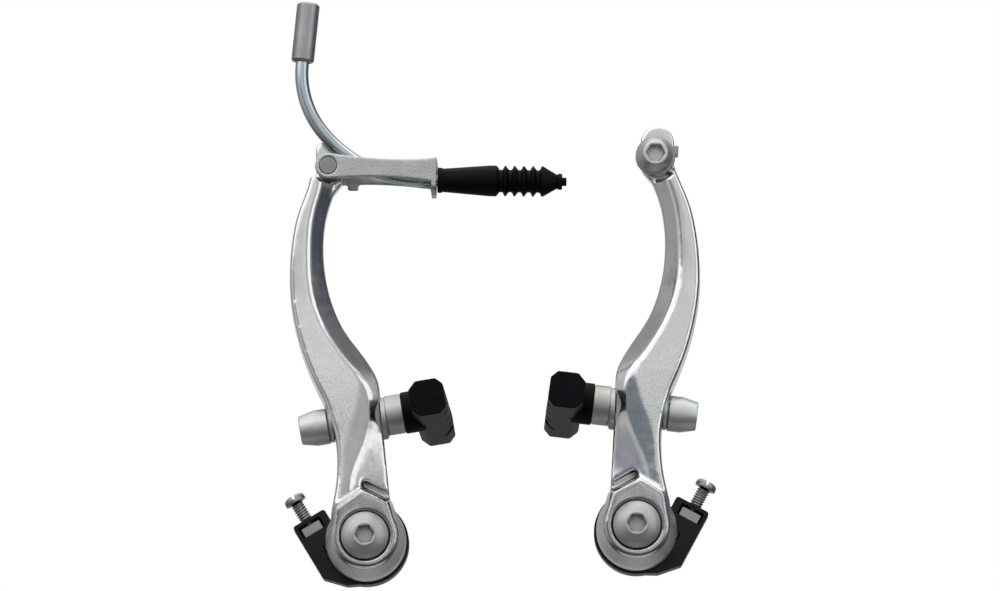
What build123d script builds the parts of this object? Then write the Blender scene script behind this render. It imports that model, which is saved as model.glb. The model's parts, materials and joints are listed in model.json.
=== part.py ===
from build123d import *
import os
from math import cos, radians, sin, sqrt

# Linear-pull bicycle rim brake: a pair of sprung arms, the bent lead pipe with its link and boot on the left
# arm, and the cable anchor on the right arm.
# Millimetres. X to the right in the front view, Y from the viewer towards the frame bosses, Z up.
# The origin is midway between the two pivot axes, in the plane of the pad posts.
# Arm pieces are drawn for the left arm with its pivot on the origin, then placed, or mirrored for the right.

# Frame interface
stud_spacing = 80.0
stud_radius = 4.0
mount_depth = 12.0
left_spread = 3.6
right_spread = 5.3

# Fits
running_gap = 0.05
seat_gap = 0.02
free_gap = 0.3

# Pivot
bush_radius = 6.0
bush_front = -9.2
thread_radius = 2.9
pivot_bolt_length = 12.2
pivot_head_radius = 7.0
pivot_head_height = 3.4
hex_size = 5.0
hex_depth = 2.6
socket_rim_radius = 3.4
socket_rim_height = 0.25
head_crown_ratio = 0.8
head_crown_drop = 0.9
head_side_drop = 2.2

# Arm boss
boss_radius = 11.9
boss_rear = 5.3
boss_cone_depth = -1.0
house_front = -10.5
house_radius = 9.0
house_shoulder_width = 7.1
house_shoulder_height = 9.2
house_peak_height = 13.2
house_draft = 2.0
house_edge = 0.9
head_recess_gap = 0.4
head_recess_depth = 1.6

# Arm lever
post_height = 35.5
eye_height = 111.7
top_front = -6.0
top_rear = 3.6
tongue_rear = 4.0
post_front = -7.6
post_rear = 6.5
edge_facet = 0.8
ridge_width = 0.9
ridge_drop = 0.5
flank_slope = 0.25
seat_depth = -1.0
seat_radius = 7.7
fin_shift = -0.2
fin_radius = 3.2
fin_rise = 5.7
lobe_shift = -0.4
lobe_radius = 5.0
lobe_rise = 4.6
slot_travel = 2.0
slot_gap = 0.3
outer_seat = -6.2
inner_seat = 8.2
notch_length = 9.5
notch_width = 2.3
notch_floor = -2.2
notch_place = (4.6, 13.8)
notch_angle = -31.0

# Lever sections: place (0 at the pivot, 1 at the post, 2 at the eye), then the distances across the arm
# of the outer edge, the face crease, the ridge and the inner edge, and the depths of the front, of the inner
# bevel's end and of the rear.
ARM_SECTIONS = (
    (0.23, -9.2, -8.0, -3.0, 8.3, -8.6, -4.0, 5.0),
    (0.51, -6.6, -5.4, -1.4, 8.3, -7.9, -3.4, 5.0),
    (0.82, -5.7, -3.3, 3.8, 8.3, post_front, -3.8, 6.0),
    (1.03, -7.1, 0.4, 6.2, 8.3, post_front, -4.2, post_rear),
    (1.14, -9.8, 2.2, 4.7, 8.3, -7.4, -3.6, post_rear),
    (1.24, -12.2, -2.0, -0.5, 5.3, -7.0, 0.6, 6.0),
    (1.37, -14.2, -7.0, -5.5, -0.5, -6.5, 0.6, 5.0),
    (1.51, -14.9, -9.7, -8.2, -3.6, top_front, -0.3, 4.2),
    (1.66, -13.8, -9.4, -7.9, -4.2, top_front, -0.9, top_rear),
    (1.80, -11.2, -7.7, -6.2, -2.5, top_front, -0.8, top_rear),
    (1.92, -7.0, -4.3, -2.8, 1.2, top_front, -0.3, top_rear),
    (1.97, -5.6, -3.4, -1.8, 2.7, top_front, 0.0, top_rear),
)

# Return spring and its holder
spring_wire_radius = 0.8
spring_coil_radius = 8.7
spring_turns = 3.75
spring_pitch = 1.9
spring_start = 2.9
tang_reach = 5.0
tang_radius = 0.78
tang_bend = 1.6
pocket_floor = 0.6
hub_wall = 1.0
holder_radius = 12.6
holder_rear = 11.7
holder_wall = 0.5
holder_floor = 0.9
lug_inner = 5.6
lug_outer = 16.4
lug_top = -15.2
lug_bottom = 2.6
lug_heel = (11.4, 8.0)
lug_join = (6.1, 10.7)
lug_corner = 0.9
lug_lean = 25.2
screw_offset = 11.6
screw_depth = 8.9
screw_radius = 1.95
screw_length = 15.85
screw_head_radius = 3.2
screw_head_height = 2.2
screw_slot_width = 1.0
screw_slot_depth = 1.2
nut_width = 6.2
nut_depth = 4.7
nut_height = 2.9
window_wall = 1.3
window_gap = 0.5
stop_offset = 10.6
stop_width = 1.4
stop_height = 1.8
stop_top = -5.4
stop_reach = 4.1

# Pad, post and alignment washers, measured along the post from the arm line towards the rim
post_tilt = 3.6
post_toe = 1.6
post_radius = 3.0
post_outer_end = -12.2
dome_radius = 12.0
dome_hole = 4.2
inner_dome_rim = 1.4
inner_dome_radius = 6.2
spacer_radius = 5.9
spacer_length = 5.0
spacer_hole = 3.3
outer_dome_rim = 0.9
outer_washer_radius = 5.8
outer_cup_radius = 4.7
outer_cup_length = 1.7
pad_nut_length = 6.8
pad_nut_radius = 5.3
pad_nut_skirt = 4.85
pad_nut_end_radius = 4.2
pad_nut_straight = 0.45
pad_nut_thread = 3.0
pad_nut_socket = 3.0
neck_radius = 6.2
neck_length = 3.0
pad_thickness = 10.4
pad_height = 10.6
pad_front = 22.0
pad_rear = 38.0
pad_back_chamfer = 2.4
pad_face_chamfer = 2.0
pad_ramp = 3.1
pad_ramp_length = 6.0
groove_width = 1.2
groove_depth = 1.5
groove_pitch = 12.0
groove_start = 11.0
post_plate_radius = 4.2
post_plate_thickness = 2.0
post_plate_inset = 1.8

# Link on the left arm
link_droop = 4.7
link_length = 32.3
link_eye_radius = 3.9
link_waist = 2.8
link_end_half = 3.75
link_sheet = 1.6
link_front = -8.0
link_rear = 6.0
wall_thickness = 1.5
wall_bottom = -6.5
wall_corner = 2.0
keyhole_slot = 2.6
link_tab_start = 5.6
link_tab_width = 3.2
link_tab_drop = 1.0
pin_radius = 2.55
pin_tail_radius = 2.0
pin_tail_head = 2.9
pin_tail_height = 0.8

# Lead pipe, measured in the link's own plane
pipe_depth = -3.6
pipe_drop = 2.36
pipe_angle = 1.6
pipe_radius = 2.0
pipe_bore = 1.4
liner_bore = 0.9
nozzle_radius = 1.9
nozzle_length = 4.8
collar_radius = 2.6
collar_length = 2.2
pipe_straight = 0.4
lower_bend_radius = 38.5
lower_bend_angle = 51.5
upper_bend_radius = 28.7
upper_bend_angle = 43.2
pipe_top_straight = 0.6
ferrule_radius = 3.4
ferrule_length = 17.8
ferrule_grip = 4.5
ferrule_floor = 1.2
ferrule_bore = 2.6
ferrule_edge = 0.5

# Boot on the pipe's nozzle
boot_lip_radius = 3.5
boot_lip_rise = 0.3
boot_lip_length = 1.0
boot_lip_end = 1.6
boot_barrel_radius = 4.6
boot_barrel_length = 17.5
boot_barrel_straight = 2.0
bellows_count = 5
bellows_pitch = 2.75
bellows_valley = 3.35
valley_start = 0.35
valley_end = 0.65
fold_start = 0.9
boot_cone_length = 4.4
boot_neck_radius = 2.0
boot_ring_radius = 2.4
boot_ring_length = 1.4
boot_tip_radius = 1.25
boot_tip_length = 1.3
boot_grip = 5.0
boot_wall = 0.95
boot_cable_hole = 0.9

# Cable anchor on the right arm
clamp_radius = 5.9
clamp_thickness = 2.5
clamp_tab_width = 2.6
clamp_tab_height = 2.1
clamp_tab_wall = 1.0
clamp_tab_reach = 3.2
clamp_tab_offset = 6.25
cable_radius = 0.8
cable_offset = 3.9
anchor_head_radius = 5.2
anchor_head_height = 5.0
anchor_rim_height = 1.6
anchor_edge = 0.5
anchor_hex_depth = 3.0
anchor_tail = 1.5


def across(depth):
    """Sketch plane across the part at a depth: X right, Y up, extruded towards the viewer."""
    return Plane(origin=(0, depth, 0), x_dir=(1, 0, 0), z_dir=(0, -1, 0))


def turned(points, axis):
    """Solid of revolution of an XY outline, added to the part that is being built."""
    with BuildSketch(Plane.XY) as outline:
        with BuildLine():
            Polyline(*points, close=True)
        make_face()
    revolve(outline.sketch, axis=axis)


def hex_corner_radius(flats):
    return flats / sqrt(3)


# Brake arm
fin_outer = [(-3.7, 0.0), (-5.5, -4.0), (-8.6, -11.5)]
lobe_outer = [(-5.6, -3.0), (-8.6, -11.5)]
tongue_inner = [(-2.6, -12.0), (0.4, -7.8), (3.7, -4.4)]
arm_bore = bush_radius + running_gap
pocket_outer = spring_coil_radius + spring_wire_radius + free_gap + holder_wall + free_gap


def section_height(place):
    if place < 1:
        return place * post_height
    return post_height + (place - 1) * (eye_height - post_height)


def curved(before, start, end, after, part):
    """Value part of the way from start to end on a smooth curve through four values."""
    slope_in = (end - before) / 2
    slope_out = (after - start) / 2
    rest = 1 - part
    return (start * (1 + 2 * part) * rest**2 + end * (1 + 2 * rest) * part**2
            + slope_in * part * rest**2 - slope_out * part**2 * rest)


def blended_sections(steps):
    """The lever sections with further ones blended between them."""
    rows = [ARM_SECTIONS[0], *ARM_SECTIONS, ARM_SECTIONS[-1]]
    blended = []
    for i in range(len(ARM_SECTIONS) - 1):
        for step in range(steps):
            blended.append([curved(*values, step / steps) for values in zip(*rows[i:i + 4])])
    return [*blended, ARM_SECTIONS[-1]]


def section_outline(outer, crease, ridge, inner, front, bevel, rear):
    """Arm section: frosted front face, flank behind the crease, bead along the ridge, bright inner bevel."""
    bead = ridge - ridge_width
    bead_depth = front + flank_slope * (bead - crease)
    ridge_depth = bead_depth + ridge_drop
    return [
        (outer - edge_facet / 2, rear),
        (outer, front + edge_facet),
        (outer + edge_facet, front),
        (crease, front),
        (bead, bead_depth),
        (ridge, ridge_depth),
        (inner, bevel),
        (inner, rear),
    ]


def house_outline(grow):
    """Gabled raised face round the pivot bolt, grown outwards by its draft."""
    radius = house_radius + grow
    shoulder = (house_shoulder_width + grow, house_shoulder_height + grow / 2)
    with BuildLine() as outline:
        CenterArc((0, 0), radius, 180, 180)
        Polyline((radius, 0), shoulder, (0, house_peak_height + grow), (-shoulder[0], shoulder[1]),
                 (-radius, 0))
    make_face(outline.edges())


def lug_plane(depth):
    """Sketch plane in the lug's directions: X away from the pivot, Y along the screw towards its tip."""
    lean = radians(lug_lean)
    return Plane(origin=(0, depth, 0), x_dir=(-cos(lean), 0, -sin(lean)), z_dir=(0, -1, 0))


def brake_arm(eye_hole, step_radius, tongue, tongue_outer, has_cable_groove):
    tongue_shift, tongue_radius, tongue_rise = tongue
    with BuildPart() as arm:
        # Lever
        for place, *edges in blended_sections(3):
            with BuildSketch(Plane.XY.offset(section_height(place))):
                with BuildLine():
                    Polyline(*section_outline(*edges), close=True)
                make_face()
        loft(ruled=True)
        # Boss and its raised face
        turned([(0, boss_rear), (boss_radius, boss_rear), (boss_radius, boss_cone_depth),
                (house_radius + house_edge, house_front + house_edge), (0, house_front + house_edge)], Axis.Y)
        with BuildSketch(across(boss_cone_depth)):
            house_outline(house_draft)
        with BuildSketch(across(house_front + house_edge)):
            house_outline(house_edge)
        with BuildSketch(across(house_front)):
            house_outline(0)
        loft(ruled=True)
        # Tongue at the top
        with BuildSketch(across(tongue_rear)):
            with BuildLine():
                top = eye_height + tongue_rise
                CenterArc((tongue_shift, top), tongue_radius, 0, 180)
                Polyline((tongue_shift - tongue_radius, top), *[(u, eye_height + w) for u, w in tongue_outer],
                         *[(u, eye_height + w) for u, w in tongue_inner], (tongue_shift + tongue_radius, top))
            make_face()
        extrude(amount=tongue_rear - seat_depth)
        # Round step in front of the tongue
        with BuildSketch(across(seat_depth)):
            with Locations((0, eye_height)):
                Circle(step_radius)
        extrude(amount=seat_depth - post_front, mode=Mode.SUBTRACT)
        # Stop for the tension screw
        with BuildSketch(lug_plane(boss_rear + stop_reach)):
            with Locations((stop_offset, stop_top + stop_height / 2)):
                Rectangle(stop_width, stop_height)
        extrude(amount=stop_reach + free_gap)
        # Bush bore, bolt head recess and spring pocket
        with BuildSketch(across(boss_rear)):
            Circle(arm_bore)
        extrude(amount=boss_rear - house_front, mode=Mode.SUBTRACT)
        with BuildSketch(across(house_front + head_recess_depth)):
            Circle(pivot_head_radius + head_recess_gap)
        extrude(amount=head_recess_depth, mode=Mode.SUBTRACT)
        with BuildSketch(across(boss_rear)):
            Circle(pocket_outer)
            Circle(arm_bore + hub_wall, mode=Mode.SUBTRACT)
        extrude(amount=boss_rear - pocket_floor, mode=Mode.SUBTRACT)
        # Post slot with a seat on each side
        post_face = Plane(origin=(0, 0, post_height), x_dir=(0, 1, 0), z_dir=(1, 0, 0))
        with BuildSketch(post_face):
            SlotCenterToCenter(slot_travel, 2 * (post_radius + slot_gap), rotation=90)
        extrude(amount=boss_radius, both=True, mode=Mode.SUBTRACT)
        with BuildSketch(post_face.offset(outer_seat)):
            Circle(outer_washer_radius + free_gap)
        extrude(amount=-boss_radius, mode=Mode.SUBTRACT)
        with BuildSketch(post_face.offset(inner_seat)):
            Circle(inner_dome_radius + free_gap)
        extrude(amount=inner_dome_radius, mode=Mode.SUBTRACT)
        # Slanted notch above the raised face
        with BuildSketch(across(notch_floor)):
            with Locations(notch_place):
                SlotOverall(notch_length, notch_width, rotation=notch_angle)
        extrude(amount=notch_floor - house_front, mode=Mode.SUBTRACT)
        # Eye hole and cable groove
        with BuildSketch(across(tongue_rear)):
            with Locations((0, eye_height)):
                Circle(eye_hole)
        extrude(amount=tongue_rear - seat_depth, mode=Mode.SUBTRACT)
        if has_cable_groove:
            with BuildSketch(Plane.YZ):
                with Locations((seat_depth, eye_height - cable_offset)):
                    Circle(cable_radius)
            extrude(amount=boss_radius, both=True, mode=Mode.SUBTRACT)
    return arm.part


# Pivot bush and bolt
with BuildPart() as pivot_bush:
    bush_bore = stud_radius + running_gap + free_gap / 10
    turned([(bush_bore, bush_front), (bush_radius, bush_front), (bush_radius, mount_depth),
            (bush_bore, mount_depth)], Axis.Y)

with BuildPart() as pivot_bolt:
    head_top = bush_front - pivot_head_height
    turned([(0, head_top), (socket_rim_radius, head_top - socket_rim_height),
            (socket_rim_radius + socket_rim_height, head_top),
            (pivot_head_radius * head_crown_ratio, head_top + head_crown_drop),
            (pivot_head_radius, head_top + head_side_drop), (pivot_head_radius, bush_front),
            (thread_radius, bush_front), (thread_radius, bush_front + pivot_bolt_length),
            (0, bush_front + pivot_bolt_length)], Axis.Y)
    with BuildSketch(across(head_top + hex_depth)):
        RegularPolygon(hex_corner_radius(hex_size), 6)
    extrude(amount=hex_depth + socket_rim_height, mode=Mode.SUBTRACT)

# Return spring: coil, hook into the holder and tang into the frame boss
with BuildPart() as return_spring:
    coil_length = spring_turns * spring_pitch
    coil_end = spring_start + coil_length
    with BuildLine() as coil:
        Helix(spring_pitch, coil_length, spring_coil_radius, center=(0, spring_start, 0), direction=(0, 1, 0))
    with BuildSketch(Plane(origin=coil.line @ 0, z_dir=coil.line % 0)):
        Circle(spring_wire_radius)
    sweep(path=coil.line, is_frenet=True)
    hook = coil.line @ 0
    tang = coil.line @ 1
    with BuildSketch(across(spring_start + tang_radius)):
        with Locations((hook.X, hook.Z)):
            Circle(tang_radius)
    extrude(amount=spring_start + tang_radius - pocket_floor - free_gap)
    bend_start = Plane(origin=tang, x_dir=(1, 0, 0), z_dir=(0, 0, 1))
    with BuildSketch(bend_start) as wire_end:
        Circle(tang_radius)
    extrude(amount=-tang_bend / 2)
    bend_axis = Axis((tang.X, coil_end + tang_bend, tang.Z), (-1, 0, 0))
    revolve(wire_end.sketch, axis=bend_axis, revolution_arc=90)
    with BuildSketch(across(mount_depth + tang_reach)):
        with Locations((tang.X, tang.Z + tang_bend)):
            Circle(tang_radius)
    extrude(amount=mount_depth + tang_reach - coil_end - tang_bend)

# Spring holder with the lug for the tension screw
holder_front = boss_rear + free_gap
sleeve_inner = spring_coil_radius + spring_wire_radius + free_gap
sleeve_outer = sleeve_inner + holder_wall
sleeve_front = pocket_floor + free_gap
window_top = lug_top + window_wall + window_gap
with BuildPart() as spring_holder:
    with BuildSketch(across(holder_rear)):
        Circle(holder_radius)
    extrude(amount=holder_rear - holder_front)
    with BuildSketch(lug_plane(holder_rear)) as lug:
        with BuildLine():
            foot = sqrt(holder_radius**2 - lug_inner**2)
            Polyline((lug_inner, lug_top), (lug_outer, lug_top), (lug_outer, lug_bottom), lug_heel, lug_join,
                     (0, 0), (lug_inner, -foot), close=True)
        make_face()
        fillet(lug.vertices().sort_by_distance((0, 0, 0))[-4:], lug_corner)
    extrude(amount=holder_rear - holder_front)
    with BuildSketch(across(holder_front)):
        Circle(sleeve_outer)
    extrude(amount=holder_front - sleeve_front)
    with BuildSketch(across(holder_rear)):
        Circle(sleeve_inner)
    extrude(amount=holder_rear - sleeve_front - holder_floor, mode=Mode.SUBTRACT)
    with BuildSketch(across(holder_rear)):
        Circle(arm_bore + hub_wall + free_gap)
        with Locations((hook.X, hook.Z)):
            Circle(spring_wire_radius + running_gap)
    extrude(amount=holder_rear - sleeve_front, mode=Mode.SUBTRACT)
    # Window for the nut, open to the front
    with BuildSketch(lug_plane(screw_depth + nut_depth / 2 + running_gap)):
        with Locations((screw_offset, window_top + (nut_height - window_gap) / 2)):
            Rectangle(nut_width + 2 * window_gap, nut_height + window_gap + 2 * running_gap)
    extrude(amount=holder_rear - holder_front, mode=Mode.SUBTRACT)
    # Room for the arm's stop
    with BuildSketch(lug_plane(boss_rear + stop_reach + free_gap)):
        with Locations((stop_offset, stop_top + stop_height / 2)):
            Rectangle(stop_width + 2 * free_gap, stop_height + 2 * free_gap)
    extrude(amount=stop_reach + free_gap, mode=Mode.SUBTRACT)
    # Screw channel
    screw_base = lug_plane(screw_depth)
    screw_seat = Plane(origin=screw_base.from_local_coords((screw_offset, stop_top, 0)),
                       x_dir=(0, 1, 0), z_dir=-screw_base.y_dir)
    with BuildSketch(screw_seat):
        Circle(screw_radius + running_gap)
    extrude(amount=stop_top - lug_top, mode=Mode.SUBTRACT)

with BuildPart() as tension_nut:
    with BuildSketch(screw_seat.offset(stop_top - window_top - nut_height)):
        Rectangle(nut_depth, nut_width)
        Circle(screw_radius + seat_gap, mode=Mode.SUBTRACT)
    extrude(amount=nut_height)

with BuildPart() as tension_screw:
    with BuildSketch(screw_seat.offset(running_gap)):
        Circle(screw_radius)
    extrude(amount=screw_length)
    with BuildSketch(screw_seat.offset(running_gap + screw_length)):
        Circle(screw_head_radius)
    extrude(amount=screw_head_height)
    fillet(faces().sort_by(Axis(screw_seat.origin, screw_seat.z_dir))[-1].edges(), screw_head_height * 0.6)
    with BuildSketch(screw_seat.offset(running_gap + screw_length + screw_head_height)):
        Rectangle(2 * screw_head_radius, screw_slot_width)
    extrude(amount=-screw_slot_depth, mode=Mode.SUBTRACT)

# Alignment washers, post and pad
toe = radians(post_toe)
post_line = Plane(origin=(0, 0, post_height),
                  x_dir=(cos(radians(post_tilt)) * cos(toe), -sin(toe), sin(radians(post_tilt)) * cos(toe)),
                  z_dir=(-cos(radians(post_tilt)) * sin(toe), -cos(toe), -sin(radians(post_tilt)) * sin(toe)))
post_axis = Axis(post_line.origin, post_line.x_dir)


def ball_reach(radius, ball=dome_radius):
    """Distance from a ball's centre to the plane of its circle of this radius."""
    return sqrt(ball**2 - radius**2)


def about_post(points):
    """Revolve an outline of (distance along the post, radius) about the post."""
    with BuildSketch(post_line) as outline:
        with BuildLine():
            Polyline(*points, close=True)
        make_face()
    revolve(outline.sketch, axis=post_axis)


def cup_about_post(ball, side, hole, radius, end, end_radius):
    """Revolve a piece with a hollow ball seat on one side (+1 seat faces the arm from the rim side)."""
    ball_radius = dome_radius + running_gap
    middle = (hole + radius) / 2
    seat = [(ball + side * ball_reach(r, ball_radius), r) for r in (hole, middle, radius)]
    with BuildSketch(post_line) as outline:
        with BuildLine():
            ThreePointArc(*seat)
            Polyline(seat[2], (end, end_radius), (end, hole), seat[0])
        make_face()
    revolve(outline.sketch, axis=post_axis)


def dome_washer(seat, rim, radius, side):
    """Washer flat on the arm at one side (+1 towards the rim), domed away from it about the post."""
    ball = seat + side * (rim - ball_reach(radius))
    ball_centre = post_line.from_local_coords((ball, 0, 0))
    flat = seat - ball_centre.X
    middle = (dome_hole + radius) / 2
    dome = [(side * ball_reach(r), r) for r in (dome_hole, middle, radius)]
    with BuildPart() as washer:
        with BuildSketch(Plane(origin=ball_centre, x_dir=(1, 0, 0), z_dir=(0, -1, 0))):
            with BuildLine():
                ThreePointArc(*dome)
                Polyline(dome[2], (flat, radius), (flat, dome_hole), dome[0])
            make_face()
        revolve(axis=Axis(ball_centre, (1, 0, 0)))
    return washer, ball


inner_dome_washer, inner_ball = dome_washer(inner_seat, inner_dome_rim, inner_dome_radius, 1)
outer_dome_washer, outer_ball = dome_washer(outer_seat, outer_dome_rim, outer_washer_radius, -1)

spacer_start = inner_ball + ball_reach(spacer_radius)
spacer_end = spacer_start + spacer_length
with BuildPart() as inner_cup_spacer:
    cup_about_post(inner_ball, 1, spacer_hole, spacer_radius, spacer_end, spacer_radius)

outer_cup_start = outer_ball - ball_reach(outer_cup_radius)
outer_cup_end = outer_cup_start - outer_cup_length
with BuildPart() as outer_cup_washer:
    cup_about_post(outer_ball, -1, spacer_hole, outer_cup_radius, outer_cup_end, outer_cup_radius)

nut_start = outer_cup_end - running_gap
nut_end = nut_start - pad_nut_length
with BuildPart() as pad_nut:
    thread_end = nut_start - pad_nut_thread
    skirt_start = outer_cup_start - 2 * running_gap
    taper_start = skirt_start + pad_nut_straight * (nut_end - skirt_start)
    about_post([(nut_start, post_radius + seat_gap), (nut_start, pad_nut_skirt), (skirt_start, pad_nut_skirt),
                (skirt_start, pad_nut_radius), (taper_start, pad_nut_radius), (nut_end, pad_nut_end_radius),
                (nut_end, 0), (thread_end, 0), (thread_end, post_radius + seat_gap)])
    nut_face = Plane(origin=post_line.from_local_coords((nut_end, 0, 0)), x_dir=(0, 1, 0),
                     z_dir=-post_line.x_dir)
    with BuildSketch(nut_face):
        RegularPolygon(hex_corner_radius(hex_size), 6)
    extrude(amount=-pad_nut_socket, mode=Mode.SUBTRACT)

neck_start = spacer_end + running_gap
pad_back = neck_start + neck_length
pad_face = pad_back + pad_thickness
plate_start = pad_back + post_plate_inset
plate_end = plate_start + post_plate_thickness
with BuildPart() as pad_post:
    about_post([(post_outer_end, 0), (post_outer_end, post_radius), (plate_start, post_radius),
                (plate_start, post_plate_radius), (plate_end, post_plate_radius), (plate_end, 0)])

with BuildPart() as brake_pad:
    half = pad_height / 2
    with BuildSketch(post_line.offset(-pad_rear)):
        with BuildLine():
            Polyline((pad_back, half - pad_back_chamfer), (pad_back + pad_back_chamfer, half),
                     (pad_face - pad_face_chamfer, half), (pad_face, half - pad_face_chamfer),
                     (pad_face, pad_face_chamfer - half), (pad_face - pad_face_chamfer, -half),
                     (pad_back + pad_back_chamfer, -half), (pad_back, pad_back_chamfer - half), close=True)
        make_face()
    extrude(amount=pad_rear + pad_front)
    about_post([(neck_start, 0), (neck_start, neck_radius), (pad_back + neck_length, neck_radius),
                (pad_back + neck_length, 0)])
    # Lead-in ramp at the front of the friction face
    ramp_plane = Plane(origin=post_line.from_local_coords((0, 0, 0)), x_dir=post_line.x_dir,
                       z_dir=post_line.y_dir)
    with BuildSketch(ramp_plane):
        with BuildLine():
            Polyline((pad_face - pad_ramp, pad_front), (pad_face + pad_ramp, pad_front),
                     (pad_face + pad_ramp, pad_front - 2 * pad_ramp_length), close=True)
        make_face()
    extrude(amount=pad_height, both=True, mode=Mode.SUBTRACT)
    # Water grooves across the friction face
    for step in range(3):
        with BuildSketch(ramp_plane):
            with Locations((pad_face, groove_start - step * groove_pitch)):
                Rectangle(2 * groove_depth, groove_width)
        extrude(amount=pad_height, both=True, mode=Mode.SUBTRACT)
    # Hole for the post and its plate
    with BuildSketch(post_line):
        with BuildLine():
            Polyline((neck_start, 0), (neck_start, post_radius + seat_gap), (plate_start - seat_gap,
                     post_radius + seat_gap), (plate_start - seat_gap, post_plate_radius + seat_gap),
                     (plate_end + seat_gap, post_plate_radius + seat_gap), (plate_end + seat_gap, 0),
                     close=True)
        make_face()
    revolve(axis=post_axis, mode=Mode.SUBTRACT)

# Link, its pin and the lead pipe, drawn where they hang on the left arm
left_place = Location((-stud_spacing / 2, 0, 0), (0, -left_spread, 0))
right_place = Location((stud_spacing / 2, 0, 0), (0, right_spread, 0))
left_eye = (left_place * Location((0, 0, eye_height))).position
droop = radians(link_droop)


def link_plane(depth):
    """Sketch plane of the link at a depth: X from the pin to the end wall, Y up, extruded to the viewer."""
    return Plane(origin=(left_eye.X, depth, left_eye.Z), x_dir=(cos(droop), 0, -sin(droop)), z_dir=(0, -1, 0))


def cheek_outline(hole):
    middle = link_length / 2
    with BuildLine() as outline:
        ThreePointArc((0, link_eye_radius), (middle, link_waist), (link_length, link_end_half))
        Line((link_length, link_end_half), (link_length, -link_end_half))
        ThreePointArc((link_length, -link_end_half), (middle, -link_waist), (0, -link_eye_radius))
        ThreePointArc((0, -link_eye_radius), (-link_eye_radius, 0), (0, link_eye_radius))
    make_face(outline.edges())
    Circle(hole, mode=Mode.SUBTRACT)


nozzle_hole = nozzle_radius + free_gap / 2
with BuildPart() as link:
    with BuildSketch(link_plane(link_front + link_sheet)):
        cheek_outline(pin_radius + seat_gap)
    extrude(amount=link_sheet)
    with BuildSketch(link_plane(link_rear)):
        cheek_outline(pin_tail_radius + seat_gap)
    extrude(amount=link_sheet)
    with BuildSketch(link_plane(link_rear)):
        with Locations((link_length - wall_thickness / 2, (link_end_half + wall_bottom) / 2)):
            Rectangle(wall_thickness, link_end_half - wall_bottom)
    extrude(amount=link_rear - link_front)
    bottom_edges = edges().filter_by(Axis(left_eye, link_plane(0).x_dir)).sort_by(Axis.Z)[:2]
    fillet(bottom_edges, wall_corner)
    with BuildSketch(link_plane(link_rear)):
        with Locations((link_tab_start + link_tab_width / 2, -link_eye_radius)):
            Rectangle(link_tab_width, 2 * link_tab_drop)
    extrude(amount=link_sheet)
    # Keyhole for the pipe's nozzle, open downwards for the cable
    end_face = Plane(origin=link_plane(pipe_depth).from_local_coords((link_length, -pipe_drop, 0)),
                     x_dir=(0, 1, 0), z_dir=link_plane(0).x_dir)
    with BuildSketch(end_face):
        Circle(nozzle_hole)
        with Locations((0, wall_bottom / 2)):
            Rectangle(keyhole_slot, -wall_bottom)
    extrude(amount=-2 * wall_thickness, mode=Mode.SUBTRACT)

with BuildPart() as link_pin:
    with BuildSketch(link_plane(seat_depth - running_gap)):
        Circle(pin_radius)
    extrude(amount=seat_depth - running_gap - link_front)
    with BuildSketch(link_plane(link_rear)):
        Circle(pin_tail_radius)
    extrude(amount=link_rear - seat_depth + running_gap)
    with BuildSketch(link_plane(link_rear + pin_tail_height)):
        Circle(pin_tail_head)
    extrude(amount=pin_tail_height)
    chamfer(faces().sort_by(Axis.Y)[-1].edges(), pin_tail_height / 2)

pipe_plane = link_plane(pipe_depth)
tip = Vector(cos(radians(pipe_angle)), sin(radians(pipe_angle)))
wall_point = Vector(link_length, -pipe_drop)
collar_end = wall_point - tip * (wall_thickness + free_gap)
pipe_start = collar_end - tip * collar_length
with BuildPart() as noodle:
    with BuildLine() as bends:
        straight = Line(pipe_start, pipe_start - tip * pipe_straight)
        lower_bend = JernArc(straight @ 1, straight % 1, lower_bend_radius, -lower_bend_angle)
        upper_bend = JernArc(lower_bend @ 1, lower_bend % 1, upper_bend_radius, -upper_bend_angle)
        Line(upper_bend @ 1, upper_bend @ 1 + (upper_bend % 1) * (pipe_top_straight + ferrule_grip))
    route = pipe_plane * bends.line
    pipe_end = Plane(origin=route @ 0, z_dir=route % 0)
    with BuildSketch(pipe_end):
        Circle(pipe_radius)
        Circle(pipe_bore, mode=Mode.SUBTRACT)
    sweep(path=route)
    with BuildSketch(pipe_end):
        Circle(collar_radius)
        Circle(pipe_bore, mode=Mode.SUBTRACT)
    extrude(amount=-collar_length)
    with BuildSketch(pipe_end.offset(-collar_length)):
        Circle(nozzle_radius)
        Circle(pipe_bore, mode=Mode.SUBTRACT)
    extrude(amount=-(wall_thickness + free_gap + nozzle_length))

with BuildPart() as noodle_liner:
    with BuildSketch(pipe_end):
        Circle(pipe_bore - running_gap)
        Circle(liner_bore, mode=Mode.SUBTRACT)
    sweep(path=route)

ferrule_foot = Plane(origin=route @ 1 - (route % 1) * ferrule_grip, z_dir=route % 1)
with BuildPart() as noodle_ferrule:
    with BuildSketch(ferrule_foot):
        Circle(ferrule_radius)
    extrude(amount=ferrule_length)
    chamfer(edges().filter_by(GeomType.CIRCLE), ferrule_edge)
    with BuildSketch(ferrule_foot):
        Circle(pipe_radius + seat_gap)
    extrude(amount=ferrule_grip + running_gap, mode=Mode.SUBTRACT)
    with BuildSketch(ferrule_foot):
        Circle(pipe_bore)
    extrude(amount=ferrule_length, mode=Mode.SUBTRACT)
    with BuildSketch(ferrule_foot.offset(ferrule_length)):
        Circle(ferrule_bore)
    extrude(amount=-(ferrule_length - ferrule_grip - ferrule_floor), mode=Mode.SUBTRACT)

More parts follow.
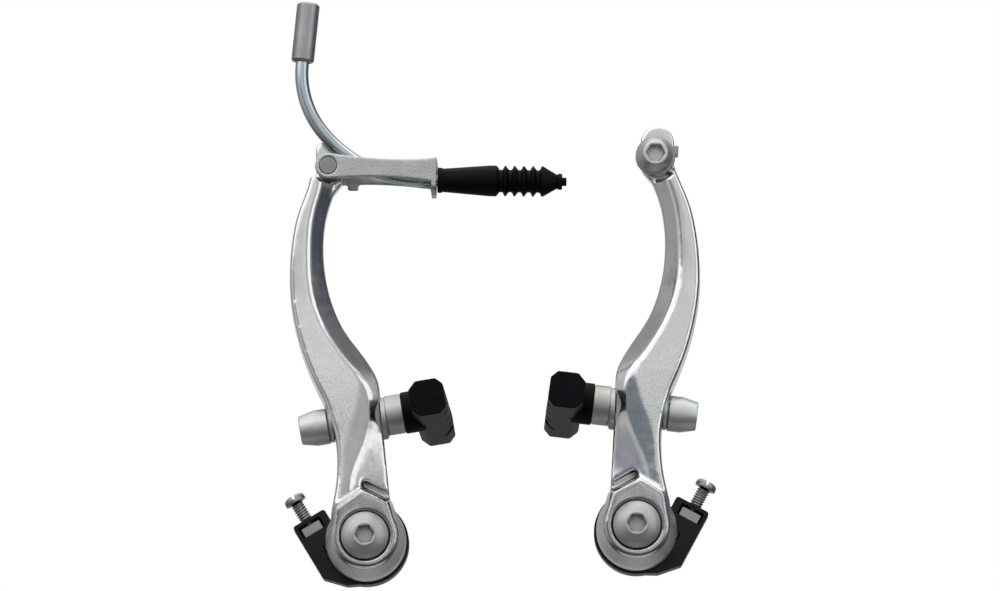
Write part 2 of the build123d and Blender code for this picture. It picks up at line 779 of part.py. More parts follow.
# Boot, revolved about the nozzle
with BuildPart() as boot:
    boot_axis = Axis(pipe_end.origin, -pipe_end.z_dir)
    boot_start = collar_length + wall_thickness + 2 * free_gap
    boot_line = Plane(origin=pipe_end.origin - pipe_end.z_dir * boot_start, x_dir=-pipe_end.z_dir,
                      z_dir=(0, -1, 0))
    outline = [(0, boot_lip_radius + boot_lip_rise), (boot_lip_length, boot_lip_radius + boot_lip_rise),
               (boot_lip_end, boot_lip_radius),
               (boot_barrel_length - boot_barrel_straight, boot_barrel_radius),
               (boot_barrel_length, boot_barrel_radius)]
    for fold in range(bellows_count):
        start = boot_barrel_length + fold * bellows_pitch
        outline += [(start + bellows_pitch * valley_start, bellows_valley),
                    (start + bellows_pitch * valley_end, bellows_valley),
                    (start + bellows_pitch * fold_start, boot_barrel_radius),
                    (start + bellows_pitch, boot_barrel_radius)]
    cone_start = boot_barrel_length + bellows_count * bellows_pitch
    cone_end = cone_start + boot_cone_length
    ring_end = cone_end + boot_ring_length
    tip_end = ring_end + boot_tip_length
    outline += [(cone_end, boot_neck_radius), (cone_end, boot_ring_radius), (ring_end, boot_ring_radius),
                (ring_end, boot_tip_radius), (tip_end, boot_tip_radius)]
    inner_radius = bellows_valley - boot_wall
    inside = [(tip_end, boot_cable_hole), (cone_end, boot_cable_hole), (cone_start, inner_radius),
              (boot_grip, inner_radius), (boot_grip, nozzle_radius + seat_gap), (0, nozzle_radius + seat_gap)]
    with BuildSketch(boot_line):
        with BuildLine():
            Polyline(*outline, *inside, close=True)
        make_face()
    revolve(axis=boot_axis)

# Cable anchor, drawn on the arm's eye
clamp_front = seat_depth - clamp_thickness
anchor_axis = Axis((0, 0, eye_height), (0, 1, 0))
with BuildPart() as clamp_washer:
    with BuildSketch(across(seat_depth)):
        with Locations((0, eye_height)):
            Circle(clamp_radius)
        with Locations((-clamp_tab_offset / 2, eye_height + clamp_tab_height)):
            Rectangle(clamp_tab_offset, clamp_tab_width)
    extrude(amount=clamp_thickness)
    # Tab folded back over the side of the arm
    with BuildSketch(across(seat_depth + clamp_tab_reach)):
        with Locations((-clamp_tab_offset, eye_height + clamp_tab_height)):
            Rectangle(clamp_tab_wall, clamp_tab_width)
    extrude(amount=clamp_tab_reach + clamp_thickness)
    with BuildSketch(across(seat_depth)):
        with Locations((0, eye_height)):
            Circle(thread_radius + free_gap)
    extrude(amount=clamp_thickness, mode=Mode.SUBTRACT)
    with BuildSketch(Plane.YZ):
        with Locations((seat_depth, eye_height - cable_offset)):
            Circle(cable_radius)
    extrude(amount=boss_radius, both=True, mode=Mode.SUBTRACT)

with BuildPart() as anchor_bolt:
    top = clamp_front - anchor_head_height
    with BuildSketch(Plane(origin=(0, 0, eye_height), x_dir=(1, 0, 0), z_dir=(0, 0, 1))):
        with BuildLine():
            Polyline((0, top), (socket_rim_radius, top), (socket_rim_radius + anchor_edge, top + anchor_edge),
                     (anchor_head_radius, clamp_front - anchor_rim_height), (anchor_head_radius, clamp_front),
                     (thread_radius, clamp_front), (thread_radius, tongue_rear + anchor_tail),
                     (0, tongue_rear + anchor_tail), close=True)
        make_face()
    revolve(axis=anchor_axis)
    with BuildSketch(across(top + anchor_hex_depth)):
        with Locations((0, eye_height)):
            RegularPolygon(hex_corner_radius(hex_size), 6)
    extrude(amount=anchor_hex_depth, mode=Mode.SUBTRACT)


def save(shape, name):
    shape.label = name
    export_step(shape, f"parts/{name}.step")


arms = {"left": brake_arm(pin_tail_radius + running_gap, link_eye_radius + free_gap,
                          (fin_shift, fin_radius, fin_rise), fin_outer, False),
        "right": brake_arm(thread_radius + seat_gap, seat_radius,
                           (lobe_shift, lobe_radius, lobe_rise), lobe_outer, True)}
PAIRED = {
    "pivot_bush": pivot_bush, "pivot_bolt": pivot_bolt, "return_spring": return_spring,
    "spring_holder": spring_holder, "tension_nut": tension_nut, "tension_screw": tension_screw,
    "brake_pad": brake_pad, "pad_post": pad_post, "inner_dome_washer": inner_dome_washer,
    "inner_cup_spacer": inner_cup_spacer, "outer_dome_washer": outer_dome_washer,
    "outer_cup_washer": outer_cup_washer, "pad_nut": pad_nut,
}
save(left_place * arms["left"], "left_arm")
save(right_place * mirror(arms["right"], about=Plane.YZ), "right_arm")
for name, piece in PAIRED.items():
    save(left_place * piece.part, f"left_{name}")
    save(right_place * mirror(piece.part, about=Plane.YZ), f"right_{name}")
for name, piece in {"clamp_washer": clamp_washer, "anchor_bolt": anchor_bolt}.items():
    save(right_place * mirror(piece.part, about=Plane.YZ), name)
for name, piece in {"link": link, "link_pin": link_pin, "noodle": noodle, "noodle_liner": noodle_liner,
                    "noodle_ferrule": noodle_ferrule, "boot": boot}.items():
    save(piece.part, name)
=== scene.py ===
import json
import math

import bmesh
import bpy
from mathutils import Matrix, Vector
from mathutils.bvhtree import BVHTree


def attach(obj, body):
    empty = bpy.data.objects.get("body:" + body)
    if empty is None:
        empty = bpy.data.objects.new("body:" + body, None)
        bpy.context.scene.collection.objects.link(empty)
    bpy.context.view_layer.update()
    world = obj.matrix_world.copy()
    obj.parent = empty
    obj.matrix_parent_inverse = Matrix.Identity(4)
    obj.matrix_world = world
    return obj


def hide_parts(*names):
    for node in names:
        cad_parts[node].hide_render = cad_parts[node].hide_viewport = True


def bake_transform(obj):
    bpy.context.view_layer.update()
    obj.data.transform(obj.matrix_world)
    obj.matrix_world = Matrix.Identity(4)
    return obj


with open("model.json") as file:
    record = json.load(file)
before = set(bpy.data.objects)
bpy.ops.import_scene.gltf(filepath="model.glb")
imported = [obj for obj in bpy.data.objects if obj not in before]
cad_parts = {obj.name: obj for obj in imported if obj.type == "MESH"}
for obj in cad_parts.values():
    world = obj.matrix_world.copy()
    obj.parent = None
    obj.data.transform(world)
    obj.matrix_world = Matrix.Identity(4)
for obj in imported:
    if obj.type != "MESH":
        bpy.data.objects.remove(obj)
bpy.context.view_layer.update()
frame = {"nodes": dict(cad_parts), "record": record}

MM = 0.001

# Camera, as in the photograph: from the front, a little below the brake
AIM = Vector((0.0, 0.0, 0.072))
AIM_PIXEL = (491.7, 294.4)
IMAGE_SIZE = (1000, 591)
PIXELS_PER_METRE = 3366.6
SENSOR_WIDTH = 36.0
VIEW_DISTANCE = 2.0
VIEW_END = 20.0
VIEW_AZIMUTH = math.radians(0.3)
VIEW_ELEVATION = math.radians(-10.0)
VIEW_ROLL = math.radians(2.27)


def place_camera():
    flat = math.cos(VIEW_ELEVATION)
    forward = Vector((-math.sin(VIEW_AZIMUTH) * flat, math.cos(VIEW_AZIMUTH) * flat,
                      -math.sin(VIEW_ELEVATION)))
    level = Vector((math.cos(VIEW_AZIMUTH), math.sin(VIEW_AZIMUTH), 0.0))
    upright = level.cross(forward)
    right = level * math.cos(VIEW_ROLL) - upright * math.sin(VIEW_ROLL)
    up = upright * math.cos(VIEW_ROLL) + level * math.sin(VIEW_ROLL)
    across = (IMAGE_SIZE[0] / 2 - AIM_PIXEL[0]) / PIXELS_PER_METRE
    down = (IMAGE_SIZE[1] / 2 - AIM_PIXEL[1]) / PIXELS_PER_METRE
    place = AIM + right * across - up * down - forward * VIEW_DISTANCE
    turn = Matrix((right, up, -forward)).transposed().to_4x4()
    optics = bpy.data.cameras.new("camera")
    optics.sensor_width = SENSOR_WIDTH
    optics.lens = SENSOR_WIDTH * VIEW_DISTANCE * PIXELS_PER_METRE / IMAGE_SIZE[0]
    optics.clip_end = VIEW_END
    camera = bpy.data.objects.new("camera", optics)
    camera.matrix_world = Matrix.Translation(place) @ turn
    bpy.context.scene.collection.objects.link(camera)
    bpy.context.scene.camera = camera


# Shader nodes
RISING = (0.0, 1.0)
FALLING = (1.0, 0.0)


def add_node(tree, kind, inputs=None, **settings):
    """Node with its settings, and with each input linked to a socket or set to a value."""
    node = tree.nodes.new(kind)
    for name, value in settings.items():
        setattr(node, name, value)
    for name, value in (inputs or {}).items():
        if isinstance(value, bpy.types.NodeSocket):
            tree.links.new(value, node.inputs[name])
        else:
            node.inputs[name].default_value = value
    return node


def spread(tree, value, limits, results=RISING):
    """A value carried from between two limits to between two results, and held at their ends."""
    return add_node(tree, "ShaderNodeMapRange", {
        "Value": value, "From Min": limits[0], "From Max": limits[1],
        "To Min": results[0], "To Max": results[1]}).outputs["Result"]


def both(tree, one, other):
    return add_node(tree, "ShaderNodeMath", {0: one, 1: other}, operation="MULTIPLY").outputs[0]


def mixed_value(tree, share, one, other):
    return add_node(tree, "ShaderNodeMix", {0: share, 2: one, 3: other}).outputs[0]


def mixed_colour(tree, share, one, other, way="MIX"):
    return add_node(tree, "ShaderNodeMix", {0: share, 6: one, 7: other}, data_type="RGBA",
                    blend_type=way).outputs[2]


def mixed_shader(tree, share, one, other):
    return add_node(tree, "ShaderNodeMixShader", {0: share, 1: one, 2: other}).outputs[0]


# Stage and light
# The room's tone round the brake, by degrees from straight in front, left negative
ROOM_STRENGTH = 0.80
ROOM_ROUND = (
    (-180, (0.36, 0.36, 0.36)), (-150, (0.43, 0.45, 0.43)), (-122, (0.34, 0.34, 0.34)),
    (-102, (0.46, 0.46, 0.45)), (-80, (0.66, 0.66, 0.65)), (-50, (0.66, 0.66, 0.66)),
    (-30, (0.18, 0.21, 0.26)), (-14, (0.44, 0.45, 0.46)), (-2, (0.54, 0.54, 0.54)),
    (2, (1.0, 1.0, 0.99)), (14, (0.97, 0.97, 0.96)), (28, (0.48, 0.48, 0.49)),
    (50, (0.55, 0.55, 0.55)), (75, (0.48, 0.48, 0.48)), (93, (0.09, 0.10, 0.12)),
    (110, (0.06, 0.07, 0.09)), (124, (0.16, 0.16, 0.17)), (180, (0.30, 0.30, 0.31)),
)
BACKDROP = (1.0, 1.0, 1.0, 1.0)
MIRRORED_BACKDROP = (0.60, 0.60, 0.60, 1.0)
CEILING = (0.98, 0.98, 1.0, 1.0)
SHADE_BELOW = (0.07, 0.07, 0.075, 1.0)

# Where these lie in the room, by the upward or backward part of a unit direction
CEILING_UP = (0.35, 0.9)
CEILING_BACK = (0.0, 0.5)
SHADE_UP = (-0.55, -0.05)
BACKDROP_BACK = (0.8, 0.97)

# Softboxes: place and size in metres, watts and tint
WHITE = (1.0, 1.0, 1.0)
SOFTBOXES = {
    "key": ((-0.75, -1.0, 1.0), (1.7, 1.3), 6.2, WHITE),
    "fill": ((1.1, -0.8, 0.4), (0.9, 1.2), 2.5, (0.95, 0.98, 1.0)),
    "top": ((0.1, 0.1, 1.2), (1.7, 1.2), 5.5, WHITE),
}

# The floor's tone for light and for the camera, its half width, its middle and where it fades out
FLOOR_LIT = (0.55, 0.55, 0.55, 1.0)
FLOOR_SEEN = (0.86, 0.86, 0.86, 1.0)
FLOOR_ROUGHNESS = 0.8
FLOOR_REACH = 0.9
FLOOR_CENTRE = (0.0, 0.3, -0.8)
FLOOR_FADE = (0.5 * FLOOR_REACH, 0.97 * FLOOR_REACH)


def softbox(name, place, size, watts, tint):
    light = bpy.data.lights.new(name, "AREA")
    light.shape = "RECTANGLE"
    light.size, light.size_y = size
    light.energy = watts
    light.color = tint
    lamp = bpy.data.objects.new(name, light)
    lamp.location = place
    lamp.rotation_euler = (AIM - Vector(place)).to_track_quat("-Z", "Y").to_euler()
    bpy.context.scene.collection.objects.link(lamp)


def room_light(tree):
    """Soft room: a window just right of straight ahead, pale on the left, dark on the right and below."""
    coords = add_node(tree, "ShaderNodeTexCoord")
    split = add_node(tree, "ShaderNodeSeparateXYZ", {"Vector": coords.outputs["Generated"]})
    across, back, up = split.outputs["X"], split.outputs["Y"], split.outputs["Z"]
    turn = add_node(tree, "ShaderNodeMath", {0: across, 1: both(tree, back, -1.0)}, operation="ARCTAN2")
    sides = add_node(tree, "ShaderNodeValToRGB", {"Fac": spread(tree, turn.outputs[0], (-math.pi, math.pi))})
    stops = sides.color_ramp.elements
    stops[0].color = (*ROOM_ROUND[0][1], 1)
    stops[1].color = (*ROOM_ROUND[-1][1], 1)
    for degrees, shade in ROOM_ROUND[1:-1]:
        stops.new((degrees + 180) / 360).color = (*shade, 1)
    overhead = both(tree, spread(tree, up, CEILING_UP), spread(tree, back, CEILING_BACK, FALLING))
    above = mixed_colour(tree, overhead, sides.outputs["Color"], CEILING)
    tone = mixed_colour(tree, spread(tree, up, SHADE_UP, FALLING), above, SHADE_BELOW)
    return tone, spread(tree, back, BACKDROP_BACK)


def light_studio():
    """The room with a white backdrop behind the brake, which shines less in metal than it looks."""
    world = bpy.data.worlds.new("studio")
    bpy.context.scene.world = world
    world.use_nodes = True
    tree = world.node_tree
    tree.nodes.clear()
    tone, behind = room_light(tree)
    room = add_node(tree, "ShaderNodeBackground", {"Color": tone, "Strength": ROOM_STRENGTH})
    mirror = add_node(tree, "ShaderNodeBackground", {"Color": MIRRORED_BACKDROP, "Strength": 1.0})
    backdrop = add_node(tree, "ShaderNodeBackground", {"Color": BACKDROP, "Strength": 1.0})
    path = add_node(tree, "ShaderNodeLightPath")
    mirrored = both(tree, path.outputs["Is Glossy Ray"], behind)
    lit = mixed_shader(tree, mirrored, room.outputs[0], mirror.outputs[0])
    seen = mixed_shader(tree, path.outputs["Is Camera Ray"], lit, backdrop.outputs[0])
    add_node(tree, "ShaderNodeOutputWorld", {"Surface": seen})
    for name, look in SOFTBOXES.items():
        softbox(name, *look)
    bpy.context.scene.view_settings.view_transform = "Standard"


def lay_floor():
    """Pale floor well below the brake, which fades out towards its edges."""
    mesh = bpy.data.meshes.new("floor")
    floor = bpy.data.objects.new("floor", mesh)
    bm = bmesh.new()
    bmesh.ops.create_grid(bm, x_segments=1, y_segments=1, size=FLOOR_REACH)
    bmesh.ops.translate(bm, verts=bm.verts, vec=FLOOR_CENTRE)
    bm.to_mesh(mesh)
    bm.free()
    material, tree, shader = finish_of("pale_floor")
    path = add_node(tree, "ShaderNodeLightPath")
    shade = mixed_colour(tree, path.outputs["Is Camera Ray"], FLOOR_LIT, FLOOR_SEEN)
    tree.links.new(shade, shader.inputs["Base Color"])
    shader.inputs["Roughness"].default_value = FLOOR_ROUGHNESS
    coords = add_node(tree, "ShaderNodeTexCoord")
    away = add_node(tree, "ShaderNodeVectorMath", {0: coords.outputs["Object"], 1: FLOOR_CENTRE},
                    operation="DISTANCE")
    clear = add_node(tree, "ShaderNodeBsdfTransparent")
    faded = mixed_shader(tree, spread(tree, away.outputs["Value"], FLOOR_FADE), shader.outputs[0],
                         clear.outputs[0])
    tree.links.new(faded, tree.nodes["Material Output"].inputs["Surface"])
    mesh.materials.append(material)
    bpy.context.scene.collection.objects.link(floor)


# Finishes: a grain is a size in millimetres and a detail, a relief is a depth in millimetres
GRAIN_ROUGHNESS = 0.55
GRAIN_SPAN = (0.35, 0.65)
TONE_STOPS = (0.3, 0.7)

# Painted shade in corners: how far it reaches in millimetres and how dark it gets
CORNER_SHADE_SAMPLES = 6
CORNER_SHADE_SPAN = (0.25, 0.85)
METAL_CORNER_SHADE = (1.5, 0.35)
ARM_CORNER_SHADE = (2.6, 0.14)


def finish_of(name, metallic=0.0):
    material = bpy.data.materials.new(name)
    material.use_nodes = True
    shader = material.node_tree.nodes["Principled BSDF"]
    shader.inputs["Metallic"].default_value = metallic
    return material, material.node_tree, shader


def grain(tree, size, detail):
    """Noise in the brake's own coordinates."""
    coords = add_node(tree, "ShaderNodeTexCoord")
    return add_node(tree, "ShaderNodeTexNoise", {
        "Vector": coords.outputs["Object"], "Scale": 1.0 / (size * MM), "Detail": detail,
        "Roughness": GRAIN_ROUGHNESS}).outputs["Fac"]


def tones(tree, value, dark, light):
    ramp = add_node(tree, "ShaderNodeValToRGB", {"Fac": value})
    for stop, position, tone in zip(ramp.color_ramp.elements, TONE_STOPS, (dark, light)):
        stop.position = position
        stop.color = (*tone, 1)
    return ramp.outputs["Color"]


def with_painted_corner_shade(tree, colour, reach, dark):
    """A colour with painted shade: darkened in the piece's own corners, creases and recesses."""
    corner = add_node(tree, "ShaderNodeAmbientOcclusion", {"Distance": reach * MM}, samples=CORNER_SHADE_SAMPLES,
                      only_local=True)
    # Painted shade: the colour darkens where the piece's own faces close in round a point
    painted_shade = spread(tree, corner.outputs["AO"], CORNER_SHADE_SPAN, (dark, 1.0))
    return mixed_colour(tree, 1.0, colour, painted_shade, "MULTIPLY")


def relief(tree, shader, height, depth, base=None):
    """Surface relief, over another one if its normal is given."""
    inputs = {"Height": height, "Distance": depth * MM, "Strength": 1.0}
    if base is not None:
        inputs["Normal"] = base
    bump = add_node(tree, "ShaderNodeBump", inputs)
    tree.links.new(bump.outputs["Normal"], shader.inputs["Normal"])
    return bump.outputs["Normal"]


# The arms' finish: where its parts lie, in metres of height and depth or by how a face looks forward
HOUSE_HEIGHT = (0.012, 0.015)
HOUSE_DEPTH = (-0.0102, -0.0098)
BOSS_HEIGHT = (0.007, 0.011)
BOSS_DEPTH = (-0.0095, -0.0080)
FRONT_FACING = (-0.975, -0.993)
LEVER_HEIGHT = (0.014, 0.018)
FROST_HEIGHT = (0.042, 0.066)

# Its tones, roughnesses and grains
FROST_TONES = ((0.66, 0.66, 0.665), (0.91, 0.91, 0.905))
ETCHED_TONES = ((0.35, 0.36, 0.38), (0.60, 0.60, 0.61))
POLISHED_TONES = ((0.745, 0.745, 0.745), (0.825, 0.825, 0.82))
POLISHED_ROUGHNESS = (0.12, 0.20)
FROST_ROUGHNESS = (0.26, 0.44)
SATIN_ROUGHNESS = 0.27
BOSS_ROUGHNESS = 0.42
SPARKLE = (0.34, 1.0)
POLISH_CLOUDS = (9.0, 3.0)
POLISH_STREAKS = (1.6, 3.0)
POLISH_WAVES = (7.0, 2.0)
WAVE_DEPTH = 0.10
FROST_DEPTH = 0.06


def arm_finish(name):
    """Polished forging: satin lever front, frosted towards the post, etched house and dull boss."""
    material, tree, shader = finish_of(name, 1.0)
    coords = add_node(tree, "ShaderNodeTexCoord")
    facing = add_node(tree, "ShaderNodeSeparateXYZ", {"Vector": coords.outputs["Normal"]}).outputs["Y"]
    place = add_node(tree, "ShaderNodeSeparateXYZ", {"Vector": coords.outputs["Object"]})
    depth, height = place.outputs["Y"], place.outputs["Z"]
    house = both(tree, spread(tree, height, HOUSE_HEIGHT, FALLING), spread(tree, depth, HOUSE_DEPTH, FALLING))
    boss = both(tree, spread(tree, height, BOSS_HEIGHT, FALLING), spread(tree, depth, BOSS_DEPTH))
    blasted = both(tree, spread(tree, facing, FRONT_FACING), spread(tree, height, LEVER_HEIGHT))
    frost = both(tree, blasted, spread(tree, height, FROST_HEIGHT, FALLING))
    sparkle = grain(tree, *SPARKLE)
    polished = tones(tree, grain(tree, *POLISH_CLOUDS), *POLISHED_TONES)
    tone = mixed_colour(tree, frost, polished, tones(tree, sparkle, *FROST_TONES))
    tone = mixed_colour(tree, house, tone, tones(tree, sparkle, *ETCHED_TONES))
    # The base colour carries painted shade in the arm's corners, notch and recesses
    tree.links.new(with_painted_corner_shade(tree, tone, *ARM_CORNER_SHADE), shader.inputs["Base Color"])
    rough = spread(tree, grain(tree, *POLISH_STREAKS), GRAIN_SPAN, POLISHED_ROUGHNESS)
    rough = mixed_value(tree, blasted, rough, SATIN_ROUGHNESS)
    rough = mixed_value(tree, frost, rough, spread(tree, sparkle, GRAIN_SPAN, FROST_ROUGHNESS))
    rough = mixed_value(tree, boss, rough, BOSS_ROUGHNESS)
    tree.links.new(rough, shader.inputs["Roughness"])
    waves = relief(tree, shader, grain(tree, *POLISH_WAVES), WAVE_DEPTH)
    relief(tree, shader, both(tree, sparkle, both(tree, frost, frost)), FROST_DEPTH, waves)
    return material


METAL_CLOUDS = (6.0, 3.0)
METAL_DETAIL = 2.0


def metal(name, dark, light, rough, grain_size, grain_depth):
    """Metal with a cloudy tone and a fine grain, with which its roughness varies."""
    material, tree, shader = finish_of(name, 1.0)
    tone = tones(tree, grain(tree, *METAL_CLOUDS), dark, light)
    # The base colour carries painted shade in the piece's corners and recesses
    tree.links.new(with_painted_corner_shade(tree, tone, *METAL_CORNER_SHADE), shader.inputs["Base Color"])
    fine = grain(tree, grain_size, METAL_DETAIL)
    tree.links.new(spread(tree, fine, GRAIN_SPAN, rough), shader.inputs["Roughness"])
    relief(tree, shader, fine, grain_depth)
    return material


# Moulded stuffs: clouds, fine grain, its relief and the strength of reflections
RUBBER = ((4.0, 4.0), (0.35, 3.0), 0.02, 0.09)
PLASTIC = ((5.0, 3.0), (0.25, 2.0), 0.012, 0.3)


def moulded(name, stuff, dark, light, rough):
    """Rubber or plastic with a cloudy tone and a fine grain, with which its roughness varies."""
    clouds, fine_grain, depth, reflection = stuff
    material, tree, shader = finish_of(name)
    tree.links.new(tones(tree, grain(tree, *clouds), dark, light), shader.inputs["Base Color"])
    fine = grain(tree, *fine_grain)
    tree.links.new(spread(tree, fine, GRAIN_SPAN, rough), shader.inputs["Roughness"])
    shader.inputs["Specular IOR Level"].default_value = reflection
    relief(tree, shader, fine, depth)
    return material


# Dark tone, light tone, roughness, grain size and grain depth of each metal
METALS = {
    "link_alloy": ((0.50, 0.505, 0.50), (0.60, 0.605, 0.60), (0.30, 0.46), 0.45, 0.11),
    "washer_alloy": ((0.50, 0.49, 0.47), (0.60, 0.59, 0.565), (0.42, 0.56), 0.3, 0.02),
    "steel": ((0.28, 0.285, 0.29), (0.36, 0.365, 0.37), (0.34, 0.48), 0.4, 0.03),
    "zinc_steel": ((0.63, 0.65, 0.64), (0.72, 0.74, 0.73), (0.42, 0.56), 0.35, 0.025),
    "spring_steel": ((0.35, 0.36, 0.38), (0.48, 0.49, 0.51), (0.25, 0.40), 0.5, 0.015),
    "plated_steel": ((0.50, 0.57, 0.59), (0.57, 0.64, 0.66), (0.19, 0.22), 0.6, 0.0015),
    "screw_zinc": ((0.36, 0.37, 0.365), (0.44, 0.45, 0.445), (0.34, 0.46), 0.3, 0.006),
    "bolt_zinc": ((0.50, 0.51, 0.50), (0.58, 0.59, 0.58), (0.46, 0.58), 0.3, 0.01),
    "ferrule_alloy": ((0.36, 0.37, 0.375), (0.44, 0.45, 0.455), (0.36, 0.50), 0.3, 0.02),
}

# Stuff, dark tone, light tone and roughness of each moulding
MOULDINGS = {
    "black_plastic": (PLASTIC, (0.004, 0.004, 0.0045), (0.008, 0.008, 0.009), (0.34, 0.50)),
    "liner_plastic": (PLASTIC, (0.72, 0.72, 0.70), (0.85, 0.85, 0.83), (0.25, 0.35)),
    "pad_rubber": (RUBBER, (0.002, 0.0025, 0.0035), (0.0045, 0.0055, 0.0075), (0.44, 0.58)),
    "boot_rubber": (RUBBER, (0.0025, 0.0025, 0.003), (0.005, 0.005, 0.006), (0.36, 0.52)),
}
FINISHES = {
    "arm_alloy": arm_finish("arm_alloy"),
    **{name: metal(name, *look) for name, look in METALS.items()},
    **{name: moulded(name, *look) for name, look in MOULDINGS.items()},
}

# Kinds of piece whose finish isn't their material slot's own
KIND_FINISHES = {
    "pivot_bolt": "bolt_zinc", "tension_screw": "screw_zinc", "tension_nut": "screw_zinc",
    "clamp_washer": "screw_zinc", "noodle_ferrule": "ferrule_alloy",
}
NODE_SLOTS = {part["node"]: part["material_slot"] for part in frame["record"]["subparts"]}
NODE_BODIES = {node: body for body, nodes in frame["record"]["behaviour"]["bodies"].items() for node in nodes}


# Pieces drawn from the solids
# Edges to round and edges that stay sharp, by the turn between their faces
ROUNDED = math.radians(28.0)
STAY_SHARP = math.radians(42.0)
NONE_SHARP = math.pi

# Meshes: distances for joining points, the least turn and edge kept, and how far a rounded edge may stray
JOIN = 0.002 * MM
REJOIN = 0.004 * MM
LEAST_TURN = math.radians(0.5)
LEAST_EDGE = 0.05 * MM
SKIN_PLAY = 0.01 * MM
DEEPEST_ROUNDING = 0.5

# How wide each kind's edges are rounded, in millimetres
EDGE_SEGMENTS = 2
EDGE_PROFILE = 0.5
EDGE_WIDTHS = {
    "pivot_bush": 0.2, "pivot_bolt": 0.2, "spring_holder": 0.25, "tension_nut": 0.2, "tension_screw": 0.12,
    "brake_pad": 0.35, "pad_post": 0.2, "inner_dome_washer": 0.2, "inner_cup_spacer": 0.25,
    "outer_dome_washer": 0.2, "outer_cup_washer": 0.2, "pad_nut": 0.3, "link_pin": 0.2, "noodle": 0.12,
    "noodle_ferrule": 0.2, "boot": 0.25, "anchor_bolt": 0.22, "clamp_washer": 0.25,
}

# Forgings: the mesh size of each kind's skin, and how it is worn
FORGED_STEPS = {"arm": 0.38 * MM, "link": 0.24 * MM}
FORGED_PASSES = 8
FORGED_WEAR = 0.5

# Tension screws: the undersides of their heads, the way they run and their thread
SCREW_HEADS = {"left": Vector((-60.4265, 8.9, 13.077)) * MM, "right": Vector((60.8055, 8.9, 12.4653)) * MM}
SCREW_RUNS = {"left": Vector((0.48175, 0.0, -0.87631)), "right": Vector((-0.50754, 0.0, -0.86163))}
SCREW_LENGTH = 15.8 * MM
SCREW_CREST = 1.95 * MM
SCREW_ROOT = 1.5 * MM
SCREW_PITCH = 0.8 * MM
SCREW_CUT = 0.03 * MM
THREAD_INSET = 0.3 * MM
THREAD_JOIN = 0.02 * MM
THREAD_STEPS = 28
THREAD_OUTLINE = (
    (0.0, SCREW_ROOT), (0.38, SCREW_CREST), (0.5, SCREW_CREST), (0.88, SCREW_ROOT), (1.0, SCREW_ROOT),
)


def solid_copy(node):
    bm = bmesh.new()
    bm.from_mesh(frame["nodes"][node].data)
    bmesh.ops.remove_doubles(bm, verts=bm.verts, dist=JOIN)
    return bm


def settle(bm, skin, width):
    """Bring back to the solid's skin what a rounded edge threw out of it or too deep into it."""
    for vert in bm.verts:
        place, normal, _, distance = skin.find_nearest(vert.co)
        outside = (vert.co - place).dot(normal) > SKIN_PLAY
        if outside or distance > DEEPEST_ROUNDING * width:
            vert.co = place
    bmesh.ops.remove_doubles(bm, verts=bm.verts, dist=REJOIN)
    bmesh.ops.dissolve_degenerate(bm, dist=REJOIN, edges=bm.edges)


def broken_edges(node, width):
    """A copy of a solid with its sharp edges rounded."""
    bm = solid_copy(node)
    bmesh.ops.dissolve_limit(bm, angle_limit=LEAST_TURN, verts=bm.verts, edges=bm.edges)
    bmesh.ops.dissolve_degenerate(bm, dist=LEAST_EDGE, edges=bm.edges)
    edges = [edge for edge in bm.edges if len(edge.link_faces) == 2 and edge.calc_face_angle(0.0) > ROUNDED]
    skin = BVHTree.FromBMesh(bm)
    bmesh.ops.bevel(bm, geom=edges, offset=width, offset_type="OFFSET", affect="EDGES",
                    segments=EDGE_SEGMENTS, profile=EDGE_PROFILE, material=-1, clamp_overlap=False,
                    miter_outer="ARC", miter_inner="ARC")
    settle(bm, skin, width)
    return bm


def forged_skin(node, step):
    """A copy of a solid drawn as one even skin, with its edges worn round as a tumbled forging's are."""
    bm = solid_copy(node)
    block = bpy.data.objects.new("block", bpy.data.meshes.new("block"))
    bm.to_mesh(block.data)
    bm.free()
    bpy.context.scene.collection.objects.link(block)
    skin = block.modifiers.new("skin", "REMESH")
    skin.mode = "VOXEL"
    skin.voxel_size = step
    even = bpy.data.meshes.new_from_object(block.evaluated_get(bpy.context.evaluated_depsgraph_get()))
    bpy.data.objects.remove(block)
    bm = bmesh.new()
    bm.from_mesh(even)
    bpy.data.meshes.remove(even)
    for _ in range(FORGED_PASSES):
        bmesh.ops.smooth_vert(bm, verts=bm.verts, factor=FORGED_WEAR, use_axis_x=True, use_axis_y=True,
                              use_axis_z=True)
    return bm


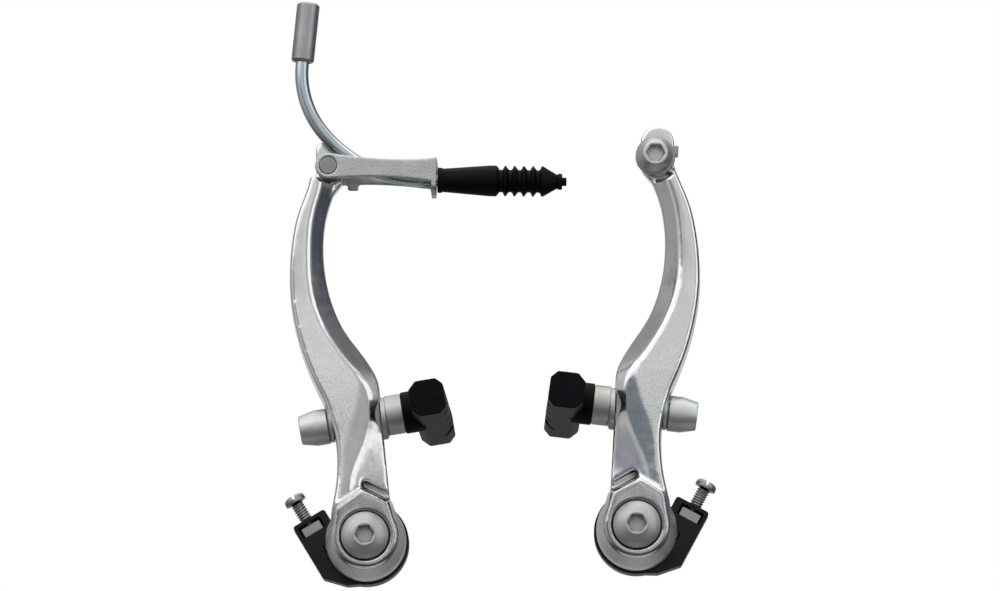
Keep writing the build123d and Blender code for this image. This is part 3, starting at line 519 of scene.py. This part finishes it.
def add_thread(bm, base, along):
    """Screw thread: one pitch of its outline spun about the axis and carried along it."""
    head = set(bm.verts)
    out = along.orthogonal().normalized()
    verts = [bm.verts.new(base + along * (place * SCREW_PITCH) + out * radius)
             for place, radius in THREAD_OUTLINE]
    edges = [bm.edges.new(pair) for pair in zip(verts, verts[1:])]
    turns = int(SCREW_LENGTH / SCREW_PITCH) - 1
    bmesh.ops.spin(bm, geom=verts + edges, cent=base, axis=along, dvec=along * (SCREW_PITCH / THREAD_STEPS),
                   angle=2 * math.pi * turns, steps=turns * THREAD_STEPS)
    turned = [vert for vert in bm.verts if vert not in head]
    bmesh.ops.remove_doubles(bm, verts=turned, dist=THREAD_JOIN)
    rims = [edge for edge in bm.edges if edge.is_boundary]
    bmesh.ops.holes_fill(bm, edges=rims)
    bmesh.ops.recalc_face_normals(bm, faces=bm.faces)


def threaded(bm, head, along):
    """A screw whose shank is cut off under its head and replaced by a thread."""
    cut = bmesh.ops.bisect_plane(bm, geom=[*bm.verts, *bm.edges, *bm.faces],
                                 plane_co=head + along * SCREW_CUT, plane_no=along, clear_outer=True)
    rim = [item for item in cut["geom_cut"] if isinstance(item, bmesh.types.BMEdge)]
    bmesh.ops.holes_fill(bm, edges=rim)
    add_thread(bm, head - along * THREAD_INSET, along)
    return bm


def add_piece(node, kind, bm, sharp=STAY_SHARP):
    """Piece in a solid's place: smooth, with its flat faces kept flat by weighted normals."""
    for face in bm.faces:
        face.smooth = True
    name, slot = node + "_piece", NODE_SLOTS[node]
    mesh = bpy.data.meshes.new(name)
    bm.to_mesh(mesh)
    bm.free()
    mesh.set_sharp_from_angle(angle=sharp)
    mesh.materials.append(FINISHES[KIND_FINISHES.get(kind, slot)])
    piece = bpy.data.objects.new(name, mesh)
    bpy.context.scene.collection.objects.link(piece)
    flats = piece.modifiers.new("flats", "WEIGHTED_NORMAL")
    flats.keep_sharp = True
    if kind != "return_spring":
        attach(piece, NODE_BODIES[node])
    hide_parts(node)
    return piece


place_camera()
light_studio()
lay_floor()
for node, solid in frame["nodes"].items():
    side = node.split("_")[0]
    kind = node.removeprefix("left_").removeprefix("right_")
    if kind == "noodle_liner":
        solid.data.materials.clear()
        solid.data.materials.append(FINISHES[NODE_SLOTS[node]])
    elif kind == "return_spring":
        spring = add_piece(node, kind, solid_copy(node))
        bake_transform(spring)
    elif kind in FORGED_STEPS:
        add_piece(node, kind, forged_skin(node, FORGED_STEPS[kind]), NONE_SHARP)
    elif kind == "tension_screw":
        screw = broken_edges(node, EDGE_WIDTHS[kind] * MM)
        add_piece(node, kind, threaded(screw, SCREW_HEADS[side], SCREW_RUNS[side]))
    else:
        add_piece(node, kind, broken_edges(node, EDGE_WIDTHS[kind] * MM))
